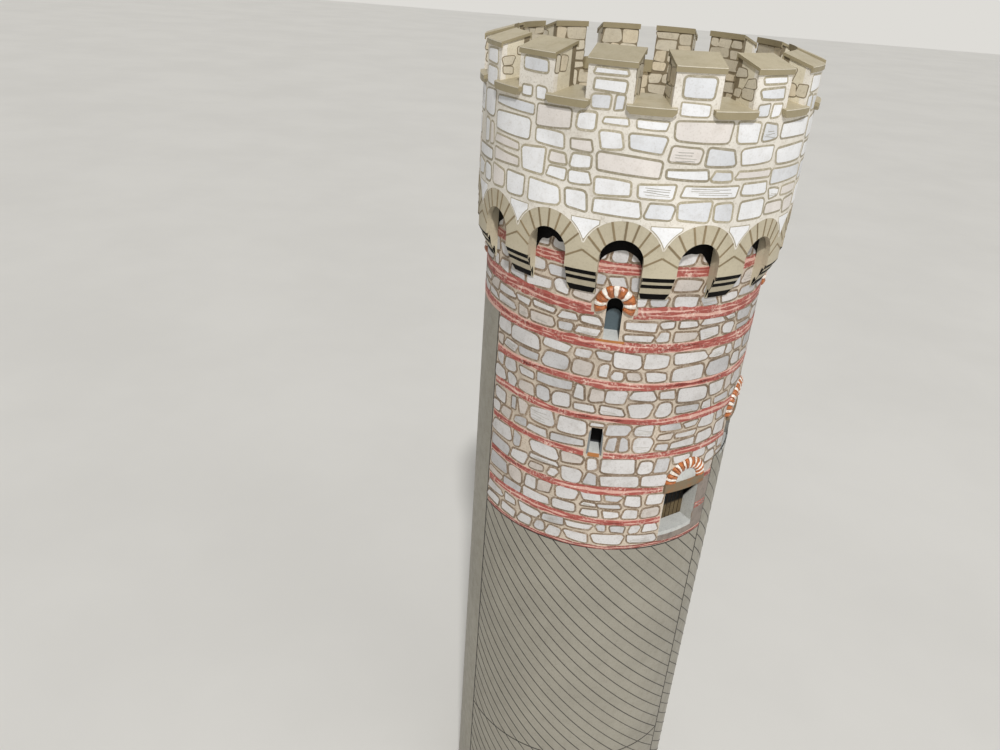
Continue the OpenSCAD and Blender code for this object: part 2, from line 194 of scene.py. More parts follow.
class Sheet:
    """Thin closed plates that become one mesh."""

    def __init__(self, name, place=None, base=SUNK, top=OUTLINE_H):
        self.name, self.place, self.base, self.top = name, place, base, top
        self.verts, self.faces, self.tints = [], [], []

    def plate(self, lower, upper, tint=1.0, place=None):
        """Adds a plate between two lines of as many (x, z) points, from left to right."""
        place = place or self.place
        n, v = len(lower), len(self.verts)
        for (xl, zl), (xu, zu) in zip(lower, upper):
            self.verts += [place(xl, zl, self.base), place(xu, zu, self.base),
                           place(xl, zl, self.top), place(xu, zu, self.top)]
        for a in range(v, v + 4 * (n - 1), 4):
            b = a + 4
            self.faces += [(a + 2, b + 2, b + 3, a + 3), (a, a + 1, b + 1, b),
                           (a, b, b + 2, a + 2), (a + 1, a + 3, b + 3, b + 1)]
        e = v + 4 * (n - 1)
        self.faces += [(v, v + 2, v + 3, v + 1), (e, e + 1, e + 3, e + 2)]
        shade = tint if isinstance(tint, tuple) else (tint, tint, tint)
        self.tints += [shade] * (4 * n)

    def band(self, xs, z0, z1, tint=1.0, place=None):
        """Adds a plate between two heights, with points at each of xs."""
        self.plate([(x, z0) for x in xs], [(x, z1) for x in xs], tint, place)

    def ribbon(self, xs, mid, halves, tint=1.0):
        """Adds a plate along the heights mid, half as wide as halves say."""
        self.plate([(x, z - t) for x, z, t in zip(xs, mid, halves)],
                   [(x, z + t) for x, z, t in zip(xs, mid, halves)], tint)

    def line(self, points, width, tint=1.0, place=None):
        """Adds a narrow plate along a line of (x, z) points."""
        right, left = [], []
        for i, (x, z) in enumerate(points):
            x0, z0 = points[max(i - 1, 0)]
            x1, z1 = points[min(i + 1, len(points) - 1)]
            dx, dz = x1 - x0, z1 - z0
            size = hypot(dx, dz)
            nx, nz = -dz / size * width / 2, dx / size * width / 2
            left.append((x + nx, z + nz))
            right.append((x - nx, z - nz))
        self.plate(right, left, tint, place)

    def finish(self, material, slot):
        """Makes the object from the plates, and hangs it on the frame."""
        mesh = bpy.data.meshes.new(self.name)
        mesh.from_pydata([[c * MM for c in p] for p in self.verts], [], self.faces)
        tint = mesh.color_attributes.new("tint", "FLOAT_COLOR", "POINT")
        tint.data.foreach_set("color", [c for t in self.tints for c in (*t, 1.0)])
        mesh.materials.append(material)
        obj = new_object(self.name, mesh)
        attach(obj, "root")


def span(x0, x1, step=STEP):
    """Evenly spaced numbers from x0 to x1, at most step apart."""
    n = max(1, ceil((x1 - x0) / step - 1e-6))
    return [x0 + (x1 - x0) * i / n for i in range(n + 1)]


def wave(size, lowest, highest):
    """A wavy line with lowest to highest waves round a wall, as a function of the angle."""
    parts = [(rng.randint(lowest, highest), rng.uniform(0, 2 * pi)) for _ in range(4)]
    return lambda a: size / 2 * sum(sin(k * a + p) for k, p in parts)


# Stone layout

# How unevenly a wall is cut up: the stones' widths and heights, and the place of a cut
WIDTH_SPREAD, HEIGHT_SPREAD, CUT_SPREAD = (0.75, 1.25), (0.9, 1.2), (0.36, 0.64)
UPRIGHT_CUTS = 1.3


def cut_out(rect, holes, least=0.9):
    """What the holes leave of a rectangle, as rectangles no narrower than least."""
    left = [rect]
    for hx0, hx1, hz0, hz1 in holes:
        kept = []
        for x0, x1, z0, z1 in left:
            if hx1 <= x0 or hx0 >= x1 or hz1 <= z0 or hz0 >= z1:
                kept.append((x0, x1, z0, z1))
                continue
            lo, hi = max(x0, hx0), min(x1, hx1)
            parts = [(x0, hx0, z0, z1), (hx1, x1, z0, z1), (lo, hi, z0, hz0), (lo, hi, hz1, z1)]
            kept += [p for p in parts if p[1] - p[0] > least and p[3] - p[2] > least]
        left = kept
    return left


def split(rect, size):
    """Cuts a rectangle into smaller ones of uneven size, none much over the width and height in size."""
    x0, x1, z0, z1 = rect
    wide, tall = size
    w, h = x1 - x0, z1 - z0
    limit = rng.uniform(*WIDTH_SPREAD)
    if w <= wide * limit and h <= tall * rng.uniform(*HEIGHT_SPREAD):
        return [rect]
    f = rng.uniform(*CUT_SPREAD)
    if w / wide > UPRIGHT_CUTS * h / tall or h <= tall:
        m = x0 + w * f
        halves = [(x0, m, z0, z1), (m, x1, z0, z1)]
    else:
        m = z0 + h * f
        halves = [(x0, x1, z0, m), (x0, x1, m, z1)]
    return [r for half in halves for r in split(half, size)]


# A stone's look: the gap round it, how far its corners stray, the least and most rounding of a corner as
# a share of its size, the bow of its long sides, the width of its outline, its tints and darkest shade
Look = namedtuple("Look", "gap skew rounding bow outline tints shade")
WHITE, WARM, GREY = (1.0, 1.0, 1.0), (0.92, 0.86, 0.80), (0.84, 0.85, 0.865)

LEAST_STONE = 0.3
LEAST_W, LEAST_H = 0.7, 0.6
CORNER_MARKS = (0.0, 0.05, 0.2, 0.5, 1.0)
GAP_SPREAD = (0.6, 1.5)
SKEW_SHARE = 0.2
BOW_SPREAD, BOW_SHARE = (-0.4, 1.0), 0.15
OUTLINE_SPREAD, OUTLINE_TINTS = (0.8, 1.2), (0.8, 1.15)


def rounded_off(e, radius):
    """How far a rounded corner draws in at the distance e from its end."""
    return radius - sqrt(max(0.0, radius ** 2 - (radius - e) ** 2)) if e < radius else 0.0


def stone_lines(corners, rounding, bows, grow, hoops):
    """Lower and upper line of a stone, grown by grow and kept out of the hoops.

    Each corner has its own rounding, as a share of the stone's size, and bows bend the long sides.
    """
    (xa, za), (xb, zb), (xc, zc), (xd, zd) = corners
    xa, xd, xb, xc = xa - grow, xd - grow, xb + grow, xc + grow
    za, zb, zc, zd = za - grow, zb - grow, zc + grow, zd + grow
    width = min(xb - xa, xc - xd)
    size = min(width, zd - za, zc - zb)
    ra, rb, rc, rd = [r * (size - 2 * grow) + grow for r in rounding]
    ends = [max(ra, rb, rc, rd) * f for f in CORNER_MARKS]
    ends = [e for e in ends if e < width / 2]
    marks = ends + span(ends[-1], width - ends[-1])[1:-1] + [width - e for e in reversed(ends)]
    lower, upper = [], []
    for d in marks:
        t, e = d / width, width - d
        bow = 4 * t * (1 - t)
        xl, xu = xa + (xb - xa) * t, xd + (xc - xd) * t
        zl = za + (zb - za) * t - bows[0] * bow + max(rounded_off(d, ra), rounded_off(e, rb))
        zu = zd + (zc - zd) * t + bows[1] * bow - max(rounded_off(d, rd), rounded_off(e, rc))
        for hx, hz, hr in hoops:
            hr -= grow
            dx = abs((xl + xu) / 2 - hx)
            if dx < hr:
                half = sqrt(hr * hr - dx * dx)
                if (za + zc) / 2 > hz:
                    zl = max(zl, hz + half)
                else:
                    zu = min(zu, hz - half)
        if zu - zl > LEAST_STONE:
            lower.append((xl, zl))
            upper.append((xu, zu))
        elif len(lower) > 2:
            break
        else:
            lower, upper = [], []
    return lower, upper


def stone_sheets(name, place):
    """Sheets for stones, their outlines and the pencil strokes on them."""
    return (Sheet(name + "_stones", place, top=FILL_H), Sheet(name + "_stone_outlines", place),
            Sheet(name + "_scribbles", place, top=SCRIBBLE_H))


def finish_all(sheets, materials, slot):
    """Finishes as many of the sheets as there are materials."""
    for sheet, material in zip(sheets, materials):
        sheet.finish(material, slot)


def lay_stones(sheets, rects, look, hoops=(), place=None, drawn=False):
    """Lays a stone in each rectangle and, where drawn, pencil strokes on some of them."""
    fills, edges, strokes = sheets
    for x0, x1, z0, z1 in rects:
        g = look.gap / 2 * rng.uniform(*GAP_SPREAD) + look.outline
        x0, x1, z0, z1 = x0 + g, x1 - g, z0 + g, z1 - g
        w, h = x1 - x0, z1 - z0
        if w < LEAST_W or h < LEAST_H:
            continue
        sx, sz = min(look.skew, SKEW_SHARE * w), min(look.skew, SKEW_SHARE * h)
        corners = [(x + rng.uniform(-sx, sx), z + rng.uniform(-sz, sz))
                   for x, z in ((x0, z0), (x1, z0), (x1, z1), (x0, z1))]
        rounding = [rng.uniform(*look.rounding) for _ in range(4)]
        bows = [rng.uniform(*BOW_SPREAD) * min(look.bow, BOW_SHARE * h) for _ in range(2)]
        light = rng.uniform(look.shade, 1.0)
        tint = tuple(c * light for c in rng.choice(look.tints))
        near = [c for c in hoops if c[0] - c[2] < x1 + 1 and c[0] + c[2] > x0 - 1
                and c[1] - c[2] < z1 + 1 and c[1] + c[2] > z0 - 1]
        for sheet, grow in ((edges, look.outline * rng.uniform(*OUTLINE_SPREAD)), (fills, 0.0)):
            lower, upper = stone_lines(corners, rounding, bows, grow, near)
            if len(lower) > 2:
                sheet.plate(lower, upper, tint if sheet is fills else rng.uniform(*OUTLINE_TINTS), place)
        if drawn and not near and w > STROKED_W and rng.random() < STROKED_SHARE:
            pencil_strokes(strokes, x0, x1, z0, z1)


# Pencil strokes: which stones have them, how many, how wide, and where they lie as shares of the stone
STROKED_W, STROKED_SHARE = 3.0, 0.12
STROKE_COUNT, STROKE_W = (2, 4), 0.13
STROKE_FOOT, STROKE_PITCH, STROKE_BEND, STROKE_FALL = 0.2, 0.19, 0.06, 0.1
STROKE_START, STROKE_END, STROKE_STEP = (0.04, 0.3), (0.65, 0.96), 0.12
STROKE_TINTS = (0.8, 1.2)


def pencil_strokes(sheet, x0, x1, z0, z1):
    """Long wavy pencil strokes over a stone."""
    w, h = x1 - x0, z1 - z0
    for k in range(rng.randint(*STROKE_COUNT)):
        z, bend = z0 + h * (STROKE_FOOT + STROKE_PITCH * k), rng.uniform(-STROKE_BEND, STROKE_BEND) * h
        start, end = rng.uniform(*STROKE_START), rng.uniform(*STROKE_END)
        points = [(x0 + w * t, z + bend * sin(pi * t * 2) - STROKE_FALL * h * t)
                  for t in span(start, end, STROKE_STEP)]
        sheet.line(points, STROKE_W, rng.uniform(*STROKE_TINTS))


# Materials


def rgb(text):
    """Linear colour of a six-digit hex one."""
    parts = [int(text[i:i + 2], 16) / 255 for i in (0, 2, 4)]
    return [p / 12.92 if p < 0.04045 else ((p + 0.055) / 1.055) ** 2.4 for p in parts] + [1.0]


# A noise of a look: its scale, detail and roughness, and the values between which it sets in
Grain = namedtuple("Grain", "scale detail rough low high", defaults=(4.0, 0.6, 0.3, 0.7))
SPECKS = Grain(2600.0, 3.0, 0.7, 0.5, 0.72)
BLOTCHES = Grain(420.0, 5.0, 0.65, 0.45, 0.75)
CLOUDS = Grain(45.0, 3.0)
SHEEN = Grain(420.0)
FIBRES = Grain(1300.0, 6.0, 0.75)
PAINT_EDGES = Grain(500.0, 2.0)
PAINT_SMEARS = Grain(900.0, 4.0, 0.7)
PAINT_BUMPS = Grain(700.0, 5.0)
CRAYON_GRAINS = Grain(1500.0, 4.0, 0.75, 0.48, 0.6)
CRAYON_STREAKS = Grain(300.0, 3.0, 0.6, 0.35, 0.7)
CRAYON_SPECKS = Grain(2600.0, 2.0, 0.6, 0.5, 0.75)
CRAYON_BUMPS = Grain(1300.0, 5.0)
FLOOR_CLOUDS = Grain(6.0)


class Nodes:
    """Short ways to build the nodes of a material or a world."""

    def __init__(self, owner):
        owner.use_nodes = True
        self.owner, self.tree = owner, owner.node_tree

    def fill(self, node, inputs):
        """Links every input to its value if that is an output, and otherwise sets it."""
        for key, value in inputs.items():
            if isinstance(value, bpy.types.NodeSocket):
                self.tree.links.new(value, node.inputs[key])
            else:
                node.inputs[key].default_value = value

    def add(self, kind, inputs, **settings):
        """A new node of this kind, with these inputs and settings."""
        node = self.tree.nodes.new("ShaderNode" + kind)
        for key, value in settings.items():
            setattr(node, key, value)
        self.fill(node, inputs)
        return node

    def math(self, operation, a, b=0.0):
        return self.add("Math", {0: a, 1: b}, operation=operation).outputs[0]

    def mix(self, factor, a, b, blend="MIX"):
        """Mixes the colour b into a by the factor."""
        inputs = {0: factor, 6: a, 7: b}
        return self.add("Mix", inputs, data_type="RGBA", blend_type=blend).outputs[2]

    def ramp(self, value, low, high, a=0.0, b=1.0):
        """Maps value from between low and high to between a and b, held at both ends."""
        inputs = {"Value": value, "From Min": low, "From Max": high, "To Min": a, "To Max": b}
        return self.add("MapRange", inputs, interpolation_type="SMOOTHSTEP").outputs["Result"]

    def xyz(self, vector):
        return self.add("SeparateXYZ", {0: vector}).outputs


class Surface(Nodes):
    """Nodes of a new material."""

    def __init__(self, name):
        super().__init__(bpy.data.materials.new(name))
        self.point = self.add("TexCoord", {}).outputs["Object"]

    def noise(self, grain):
        node = self.add("TexNoise", {"Vector": self.point, "Scale": grain.scale})
        self.fill(node, {"Detail": grain.detail, "Roughness": grain.rough})
        return node.outputs["Fac"]

    def grain(self, grain, a=0.0, b=1.0):
        """The noise of a grain, mapped to between a and b where it sets in."""
        return self.ramp(self.noise(grain), grain.low, grain.high, a, b)

    def turned(self, angle):
        """The point's x, y and z after a turn round the axis that takes the angle to the front."""
        inputs = {"Vector": self.point, "Angle": -angle}
        return self.xyz(self.add("VectorRotate", inputs, rotation_type="Z_AXIS").outputs[0])

    def tinted(self, colour):
        """The colour times each plate's own tint."""
        tint = self.add("Attribute", {}, attribute_name="tint")
        return self.mix(1.0, colour, tint.outputs["Color"], "MULTIPLY")

    def bump(self, grain, strength, distance):
        """Normal of a surface made bumpy by the noise of a grain, over a distance in mm."""
        inputs = {"Strength": strength, "Distance": distance * MM, "Height": self.noise(grain)}
        return self.add("Bump", inputs).outputs["Normal"]

    def done(self, colour, rough, **more):
        """The material, with the colour, the roughness and more inputs of its shader, _ for a space."""
        inputs = {"Base Color": colour, "Roughness": rough}
        inputs.update({key.replace("_", " "): value for key, value in more.items()})
        self.fill(self.tree.nodes["Principled BSDF"], inputs)
        return self.owner


def card(name, base, dark, speckle=0.5, mottle=0.25, cloud=0.12, rough=0.55, tinted=False,
         shine=0.5, darken=None):
    """Printed or bare card: base colour with fine specks of the dark one, blotches and fibres."""
    n = Surface(name)
    base, dark = rgb(base), rgb(dark)
    colour = n.mix(n.grain(SPECKS, 0.0, speckle), base, dark)
    colour = n.mix(n.grain(BLOTCHES, 0.0, mottle), colour, dark)
    shade = n.grain(CLOUDS, 1.0 - cloud, 1.0 + cloud / 2)
    grey = n.add("CombineColor", {0: shade, 1: shade, 2: shade}).outputs[0]
    colour = n.mix(1.0, colour, grey, "MULTIPLY")
    if tinted:
        colour = n.tinted(colour)
    if darken:
        colour = darken(n, colour)
    return n.done(colour, n.grain(SHEEN, rough - 0.08, rough + 0.1), Specular_IOR_Level=shine,
                  Normal=n.bump(FIBRES, strength=0.5, distance=0.05))


def shadowed(low, high, angle=0.0, slant=0.0):
    """Blackens a recess from low to high over the print's lower edge, as the shadow of its own head.

    With a slant the shadow climbs from the door leaf towards the wall's face.
    """
    def darken(n, before):
        at = n.turned(angle)
        out = n.math("MULTIPLY", n.math("ADD", at[1], LEAF_R * MM), slant)
        climb = n.math("ADD", at[2], out)
        return n.mix(n.ramp(climb, (PRINT_Z + low) * MM, (PRINT_Z + high) * MM), before, rgb("050403"))
    return darken


def painted_upright_shade(n, before):
    """Painted shade: darkens faces that stand upright, such as the lip of a sill or the edge of a cap."""
    normal = n.xyz(n.add("NewGeometry", {}).outputs["Normal"])
    upright = n.ramp(n.math("ABSOLUTE", normal[2]), low=0.35, high=0.75, a=0.6, b=0.0)
    return n.mix(upright, before, rgb("877a58"))


# Painted mouldings: of every two blocks the second is white, from its middle out to where the orange
# sets in. Edges stray by PAINT_STRAY of a block, and the paint is smeared and glossy.
WHITE_MIDDLE, WHITE_REACH, ORANGE_FROM, PAINT_STRAY = 1.5, 0.24, 0.42, 0.16
ORANGE_SMEAR, WHITE_SMEAR, PAINT_SHEEN = (0.35, 0.7), (0.45, 0.75), (0.3, 0.7, 0.22, 0.4)


def painted_blocks(name, angle, height, blocks, low_deg=0.0, windows=False):
    """Moulding of orange and white blocks by turns, told apart by their angle round its middle.

    It starts low_deg below its middle. All four windows share one look.
    """
    n = Surface(name)
    at = n.turned(angle)
    across = n.math("ABSOLUTE", at[0])
    if windows:
        across = n.math("MINIMUM", across, n.math("ABSOLUTE", at[1]))
    up = n.math("SUBTRACT", at[2], height * MM)
    low = radians(low_deg)
    turn = n.math("ADD", n.math("ARCTAN2", up, across), low)
    beat = n.math("FLOORED_MODULO", n.math("DIVIDE", turn, (pi + 2 * low) / blocks), 2.0)
    stray = n.grain(PAINT_EDGES, -PAINT_STRAY, PAINT_STRAY)
    off = n.math("ABSOLUTE", n.math("SUBTRACT", n.math("ADD", beat, stray), WHITE_MIDDLE))
    smear = n.noise(PAINT_SMEARS)
    orange = n.mix(n.ramp(smear, *ORANGE_SMEAR), rgb("bf6c2c"), rgb("864517"))
    white = n.mix(n.ramp(smear, *WHITE_SMEAR), rgb("efe9df"), rgb("b79a80"))
    colour = n.mix(n.ramp(off, WHITE_REACH, ORANGE_FROM, 1.0, 0.0), orange, white)
    return n.done(colour, n.ramp(smear, *PAINT_SHEEN), Coat_Weight=0.6, Coat_Roughness=0.12,
                  Normal=n.bump(PAINT_BUMPS, strength=0.6, distance=0.12))


def crayon(name, base, pale):
    """Red print that breaks up into grains, as crayon does on rough card."""
    n = Surface(name)
    missed = n.math("MULTIPLY", n.grain(CRAYON_GRAINS), n.grain(CRAYON_STREAKS, 0.0, 0.9))
    colour = n.mix(missed, rgb(base), rgb(pale))
    colour = n.mix(n.grain(CRAYON_SPECKS, 0.0, 0.35), colour, rgb("7d3a30"))
    return n.done(n.tinted(colour), n.grain(SHEEN, 0.5, 0.68),
                  Normal=n.bump(CRAYON_BUMPS, strength=0.4, distance=0.05))


# Each card has a base and a dark colour, a share of specks and a share of blotches
ground = card("print_ground", "cdbfad", "7f6a55", 0.6, 0.35)
pale_ground = card("print_pale_ground", "ebe5da", "a99b84", 0.5, 0.3)
stone_fill = card("print_stone", "d9d6d4", "9f968c", 0.45, 0.35, tinted=True)
stone_edge = card("print_outline", "7b6751", "cdbfae", 0.75, 0.4, tinted=True)
drum_fill = card("print_drum_stone", "f6f6f7", "bdb6aa", 0.3, 0.25, tinted=True)
drum_edge = card("print_drum_outline", "a39981", "ded6c6", 0.75, 0.35, tinted=True)
pencil = card("print_pencil", "b9b5ac", "8a867d", 0.4, 0.3, tinted=True)
tan_ground = card("print_tan_joint", "857860", "5f533c", 0.5, 0.3)
tan_fill = card("print_tan_stone", "dad1bd", "a89c83", 0.45, 0.35, tinted=True)
tan_edge = card("print_tan_outline", "857860", "5f533c", 0.4, 0.3, tinted=True)
worn = card("card_worn_fold", "e4dcc8", "b9ad90", 0.4, 0.3, tinted=True)
red_print = crayon("print_red", "a45147", "e6c8b8")
red_wash = crayon("print_red_wash", "d8a99b", "ead8ca")
ink = card("print_black", "2a2723", "5a544b", 0.35, 0.2, tinted=True)
bare_card = card("card_bare", "999487", "716b5f", 0.4, 0.16, cloud=0.1, rough=0.5)
cream = card("card_cream", "e0d7c0", "b3a584", 0.4, 0.4)
beige = card("card_beige", "bfb59d", "978b72", 0.35, 0.22, cloud=0.08)
joint = card("print_joint", "8b7a5c", "665840", 0.4, 0.3, tinted=True)
# Khaki card of caps and sills, with painted shade on their upright faces
khaki = card("card_khaki", "b3a88d", "8c8167", 0.3, 0.25, rough=0.5, darken=painted_upright_shade)
# Black card: print on the corbels, and painted shade and shadow under the drum and behind the arches
black = card("card_black", "040303", "14110e", 0.3, 0.2, rough=0.7, shine=0.12)
sill = card("card_sill_grey", "c9cac6", "8e8f8b", 0.35, 0.3)
slate = card("card_slate", "5b6a70", "3a464c", 0.4, 0.35)
# The window's and slot's linings are dark grey as painted shade, and every recess and leaf blackens towards
# its head as painted shadow
window_dark = card("card_window_recess", "55554f", "1a1a1a", shine=0.1, darken=shadowed(61.5, 63.5))
slot_dark = card("card_slot_recess", "55565a", "2a2a2a", shine=0.1, darken=shadowed(29.3, 30.6))
door_dark = card("card_door_recess", "d2d2cc", "8a877f", shine=0.2,
                 darken=shadowed(8.2, 9.2, DOOR_A, slant=1.7))
walk_dark = card("card_walk_recess", "8d8b85", "3c3a36", shine=0.2,
                 darken=shadowed(22.5, 24.0, WALK_A, slant=1.7))
leaf = card("card_door_leaf", "6b5c42", "382a1c", 0.5, 0.5, shine=0.2, darken=shadowed(8.0, 9.0))
walk_leaf = card("card_walk_leaf", "3f3021", "1d140c", 0.5, 0.5, shine=0.2, darken=shadowed(22.5, 24.0))
lintel = card("card_lintel", "776850", "9c5f2c", 0.35, 0.85)
board = card("print_board", "3a2e20", "1d160f", 0.3, 0.2, shine=0.1)
ledge = card("print_ledge", "b5763e", "7b4c26", 0.4, 0.3, tinted=True)
# Plain grey-brown ground, as painted shade over the print beside the entrance
painted_shade_ground = card("print_shaded", "8f8379", "574e4b", 0.5, 0.6, tinted=True)
margin = card("print_margin", "8f9496", "62676a", 0.35, 0.3, tinted=True)

window_paint = painted_blocks("paint_window_trim", 0.0, WINDOW_RING_Z, blocks=11, low_deg=26.0, windows=True)
door_paint = painted_blocks("paint_door_trim", DOOR_A, DOOR_RING_Z, blocks=19)
walk_paint = painted_blocks("paint_walk_trim", WALK_A, WALK_RING_Z, blocks=23)

# The look of every CAD node, by the longest of these that is in its name
LOOKS = {
    "lower_wall": bare_card, "upper_wall": ground, "drum_wall": pale_ground, "inner_wall": tan_ground,
    "window_boxes": window_dark, "window_panels": slate, "window_trims": window_paint,
    "slot_box": slot_dark, "door_box": door_dark, "door_leaf": leaf, "door_trim": door_paint,
    "walk_door_box": walk_dark, "walk_door_leaf": walk_leaf, "walk_door_trim": walk_paint,
    "sill": sill, "tympanum": sill, "lintel": lintel, "arcade": beige, "corbels": beige,
    # The soffit ring is black as painted shade under the drum
    "soffit_ring": black, "deck": tan_ground, "merlon_fronts": pale_ground, "merlon_backs": tan_ground,
    "merlon_cheeks": cream, "merlon_caps": khaki, "embrasure_sills": khaki,
}
for name, obj in nodes.items():
    kind = max((k for k in LOOKS if k in name), key=len)
    obj.data.materials.clear()
    obj.data.materials.append(LOOKS[kind])


# The shaft's print, and painted shadow behind the arches

# The glued strip at the left stays bare up to LEFT_TOP, and the strip at the right up to RIGHT_TOP
LEFT_X, RIGHT_X = radians(-53.0) * SHAFT_R, radians(60.2) * SHAFT_R
LEFT_TOP, RIGHT_TOP = PRINT_Z + 57.0, PRINT_Z + 22.0
RIM_W = 0.3


def keep_clear(angle, half, z0, z1, side=0.0, below=0.0):
    """Rectangle of the shaft round an opening, wider on both sides by side and deeper by below."""
    x = angle * SHAFT_R
    return (x - half - side, x + half + side, z0 - below, z1)


# Where no stone or course goes: openings and bare strips as rectangles, round mouldings as hoops.
# The back window's recess lies across the seam at the back, so it is cut out at both ends.
seam_as = WINDOW_AS + [-pi]
bare = [(-HALF_TURN, LEFT_X, PRINT_Z - 1, LEFT_TOP), (RIGHT_X, HALF_TURN, PRINT_Z - 1, RIGHT_TOP)]
holes = [keep_clear(a, WINDOW_HALF, WINDOW_Z, WINDOW_RING_Z, side=0.35, below=0.7) for a in seam_as]
holes += [keep_clear(SLOT_A, SLOT_HALF, SLOT_Z, SLOT_TOP, side=0.6, below=1.2),
          keep_clear(DOOR_A, DOOR_HALF, DOOR_Z, DOOR_RING_Z, side=0.2, below=0.5),
          keep_clear(WALK_A, WALK_HALF, WALK_Z, WALK_RING_Z, side=0.2, below=0.3)] + bare
mouldings = [(a * SHAFT_R, WINDOW_RING_Z, WINDOW_RING_R) for a in seam_as]
mouldings += [(DOOR_A * SHAFT_R, DOOR_RING_Z, DOOR_RING_R), (WALK_A * SHAFT_R, WALK_RING_Z, WALK_RING_R)]

# Red courses: height over the print's lower edge, width, strokes, and how far the strokes wander.
# The first one, at that edge, is thin and darker.
Course = namedtuple("Course", "height width strokes wander")
COURSES = [Course(*c) for c in (
    (76.0, 2.8, 3, 0.24), (66.0, 3.0, 3, 0.26), (57.6, 2.7, 3, 0.28), (47.7, 2.0, 2, 0.28),
    (38.3, 1.9, 2, 0.28), (28.5, 1.8, 2, 0.28), (18.0, 1.8, 2, 0.26), (8.6, 1.9, 2, 0.28))]
FIRST_COURSE = Course(0.5, 1.0, 2, 0.1)
FIRST_SHADE = 0.72

# Strokes: their width as a share of an even one, tints, and waves as size and fewest and most waves.
# All strokes of a course sway together, and each has its own drift, ripple and changing thickness.
STROKE_SHARE, THINNEST, COURSE_TINTS = (0.6, 0.84), 0.14, (0.88, 1.06)
WASH_SHARE, COURSE_STEP = 0.42, 0.8
SWAY, DRIFT, RIPPLE, THICKNESS = (0.16, 2, 9), (1, 6), (0.08, 8, 40), (0.16, 9, 60)

RUBBLE = Look(gap=0.2, skew=0.5, rounding=(0.08, 0.42), bow=0.3, outline=0.52,
              tints=[WHITE, WHITE, WHITE, WARM, GREY], shade=0.9)
RUBBLE_SIZE = (9.4, 4.9)
UNDER_COURSE, UNDER_SOFFIT = 0.15, 0.4


def stone_zones():
    """Lowest and highest z of each zone of stones, a little under the courses' edges."""
    zones, low = [], PRINT_Z + FIRST_COURSE.width
    for course in reversed(COURSES):
        mid = PRINT_Z + course.height
        zones.append((low, mid - course.width / 2 + UNDER_COURSE))
        low = mid + course.width / 2 - UNDER_COURSE
    return zones + [(low, SOFFIT_Z + UNDER_SOFFIT)]


def shaft_stones():
    """Rubble between the red courses."""
    sheets = stone_sheets("shaft", shaft)
    for z0, z1 in stone_zones():
        for rect in cut_out((-HALF_TURN, HALF_TURN, z0, z1), holes):
            lay_stones(sheets, split(rect, RUBBLE_SIZE), RUBBLE, mouldings, drawn=True)
    finish_all(sheets, (stone_fill, stone_edge, pencil), "stone_print")


def free_runs(xs, z):
    """Runs of a row of places at the height z that keep clear of holes and mouldings."""
    runs = [[]]
    for x in xs:
        if (any(x0 < x < x1 and z0 < z < z1 for x0, x1, z0, z1 in holes)
                or any(hypot(x - hx, z - hz) < hr for hx, hz, hr in mouldings)):
            runs.append([])
        else:
            runs[-1].append(x)
    return [run for run in runs if len(run) > 2]


def red_courses():
    """Courses of separate crayon strokes over a paler wash."""
    reds = Sheet("red_courses", shaft, top=BAND_H)
    washes = Sheet("red_washes", shaft, top=WASH_H)
    columns = span(-HALF_TURN, HALF_TURN, COURSE_STEP)
    for course in COURSES + [FIRST_COURSE]:
        level, sway = PRINT_Z + course.height, wave(*SWAY)
        for run in free_runs(columns, level):
            mid = [level + sway(x / SHAFT_R) for x in run]
            washes.ribbon(run, mid, [WASH_SHARE * course.width] * len(run))
        for s in range(course.strokes):
            part = (s + 0.5) / course.strokes - 0.5
            drift, ripple, thick = wave(course.wander, *DRIFT), wave(*RIPPLE), wave(*THICKNESS)
            base = level + part * course.width
            width = course.width / course.strokes * rng.uniform(*STROKE_SHARE)
            tint = rng.uniform(*COURSE_TINTS) * (FIRST_SHADE if course is FIRST_COURSE else 1.0)
            for run in free_runs(columns, base):
                mid = [base + sum(f(x / SHAFT_R) for f in (sway, drift, ripple)) for x in run]
                halves = [max(THINNEST, width * (0.5 + thick(x / SHAFT_R))) for x in run]
                reds.ribbon(run, mid, halves, tint)
    washes.finish(red_wash, "stone_print")
    reds.finish(red_print, "stone_print")


# Lines on the bare card: the hatching's distance along x, width, tints and least length
HATCH_GAP, HATCH_W, HATCH_WIDTHS, HATCH_TINTS = 4.4, 0.21, (0.85, 1.15), (0.8, 1.3)
HATCH_LEAST, HATCH_STEP = 0.6, 2.2
RING_LINE_Z, EDGE_LINE_Z = PRINT_Z - 79.9, PRINT_Z - 0.12


def hatch(lines, x0, x1, z0, z1, first):
    """Lines that fall to the right at 45 degrees, kept inside a rectangle."""
    c = x0 + z0 + first
    while c < x1 + z1:
        a, b = max(x0, c - z1), min(x1, c - z0)
        if b - a > HATCH_LEAST:
            lines.line([(x, c - x) for x in span(a, b, HATCH_STEP)],
                       HATCH_W * rng.uniform(*HATCH_WIDTHS), rng.uniform(*HATCH_TINTS))
        c += HATCH_GAP


def printed_lines():
    """Hatching of the bare card, and the lines that frame it."""
    lines = Sheet("printed_lines", shaft, top=LINE_H)
    hatch(lines, LEFT_X, RIGHT_X, 0.0, PRINT_Z, first=1.5)
    hatch(lines, RIGHT_X, HALF_TURN, 0.0, RIGHT_TOP, first=0.4)
    for x, top in ((LEFT_X, LEFT_TOP), (RIGHT_X, RIGHT_TOP)):
        lines.line([(x, 0.05), (x, top)], RIM_W)
    for x0, x1, z in ((LEFT_X, RIGHT_X, EDGE_LINE_Z), (LEFT_X, RIGHT_X, RING_LINE_Z),
                      (-HALF_TURN, LEFT_X, LEFT_TOP), (RIGHT_X, HALF_TURN, RIGHT_TOP)):
        lines.line([(x, z) for x in span(x0, x1)], RIM_W)
    lines.finish(ink, "bare_card")


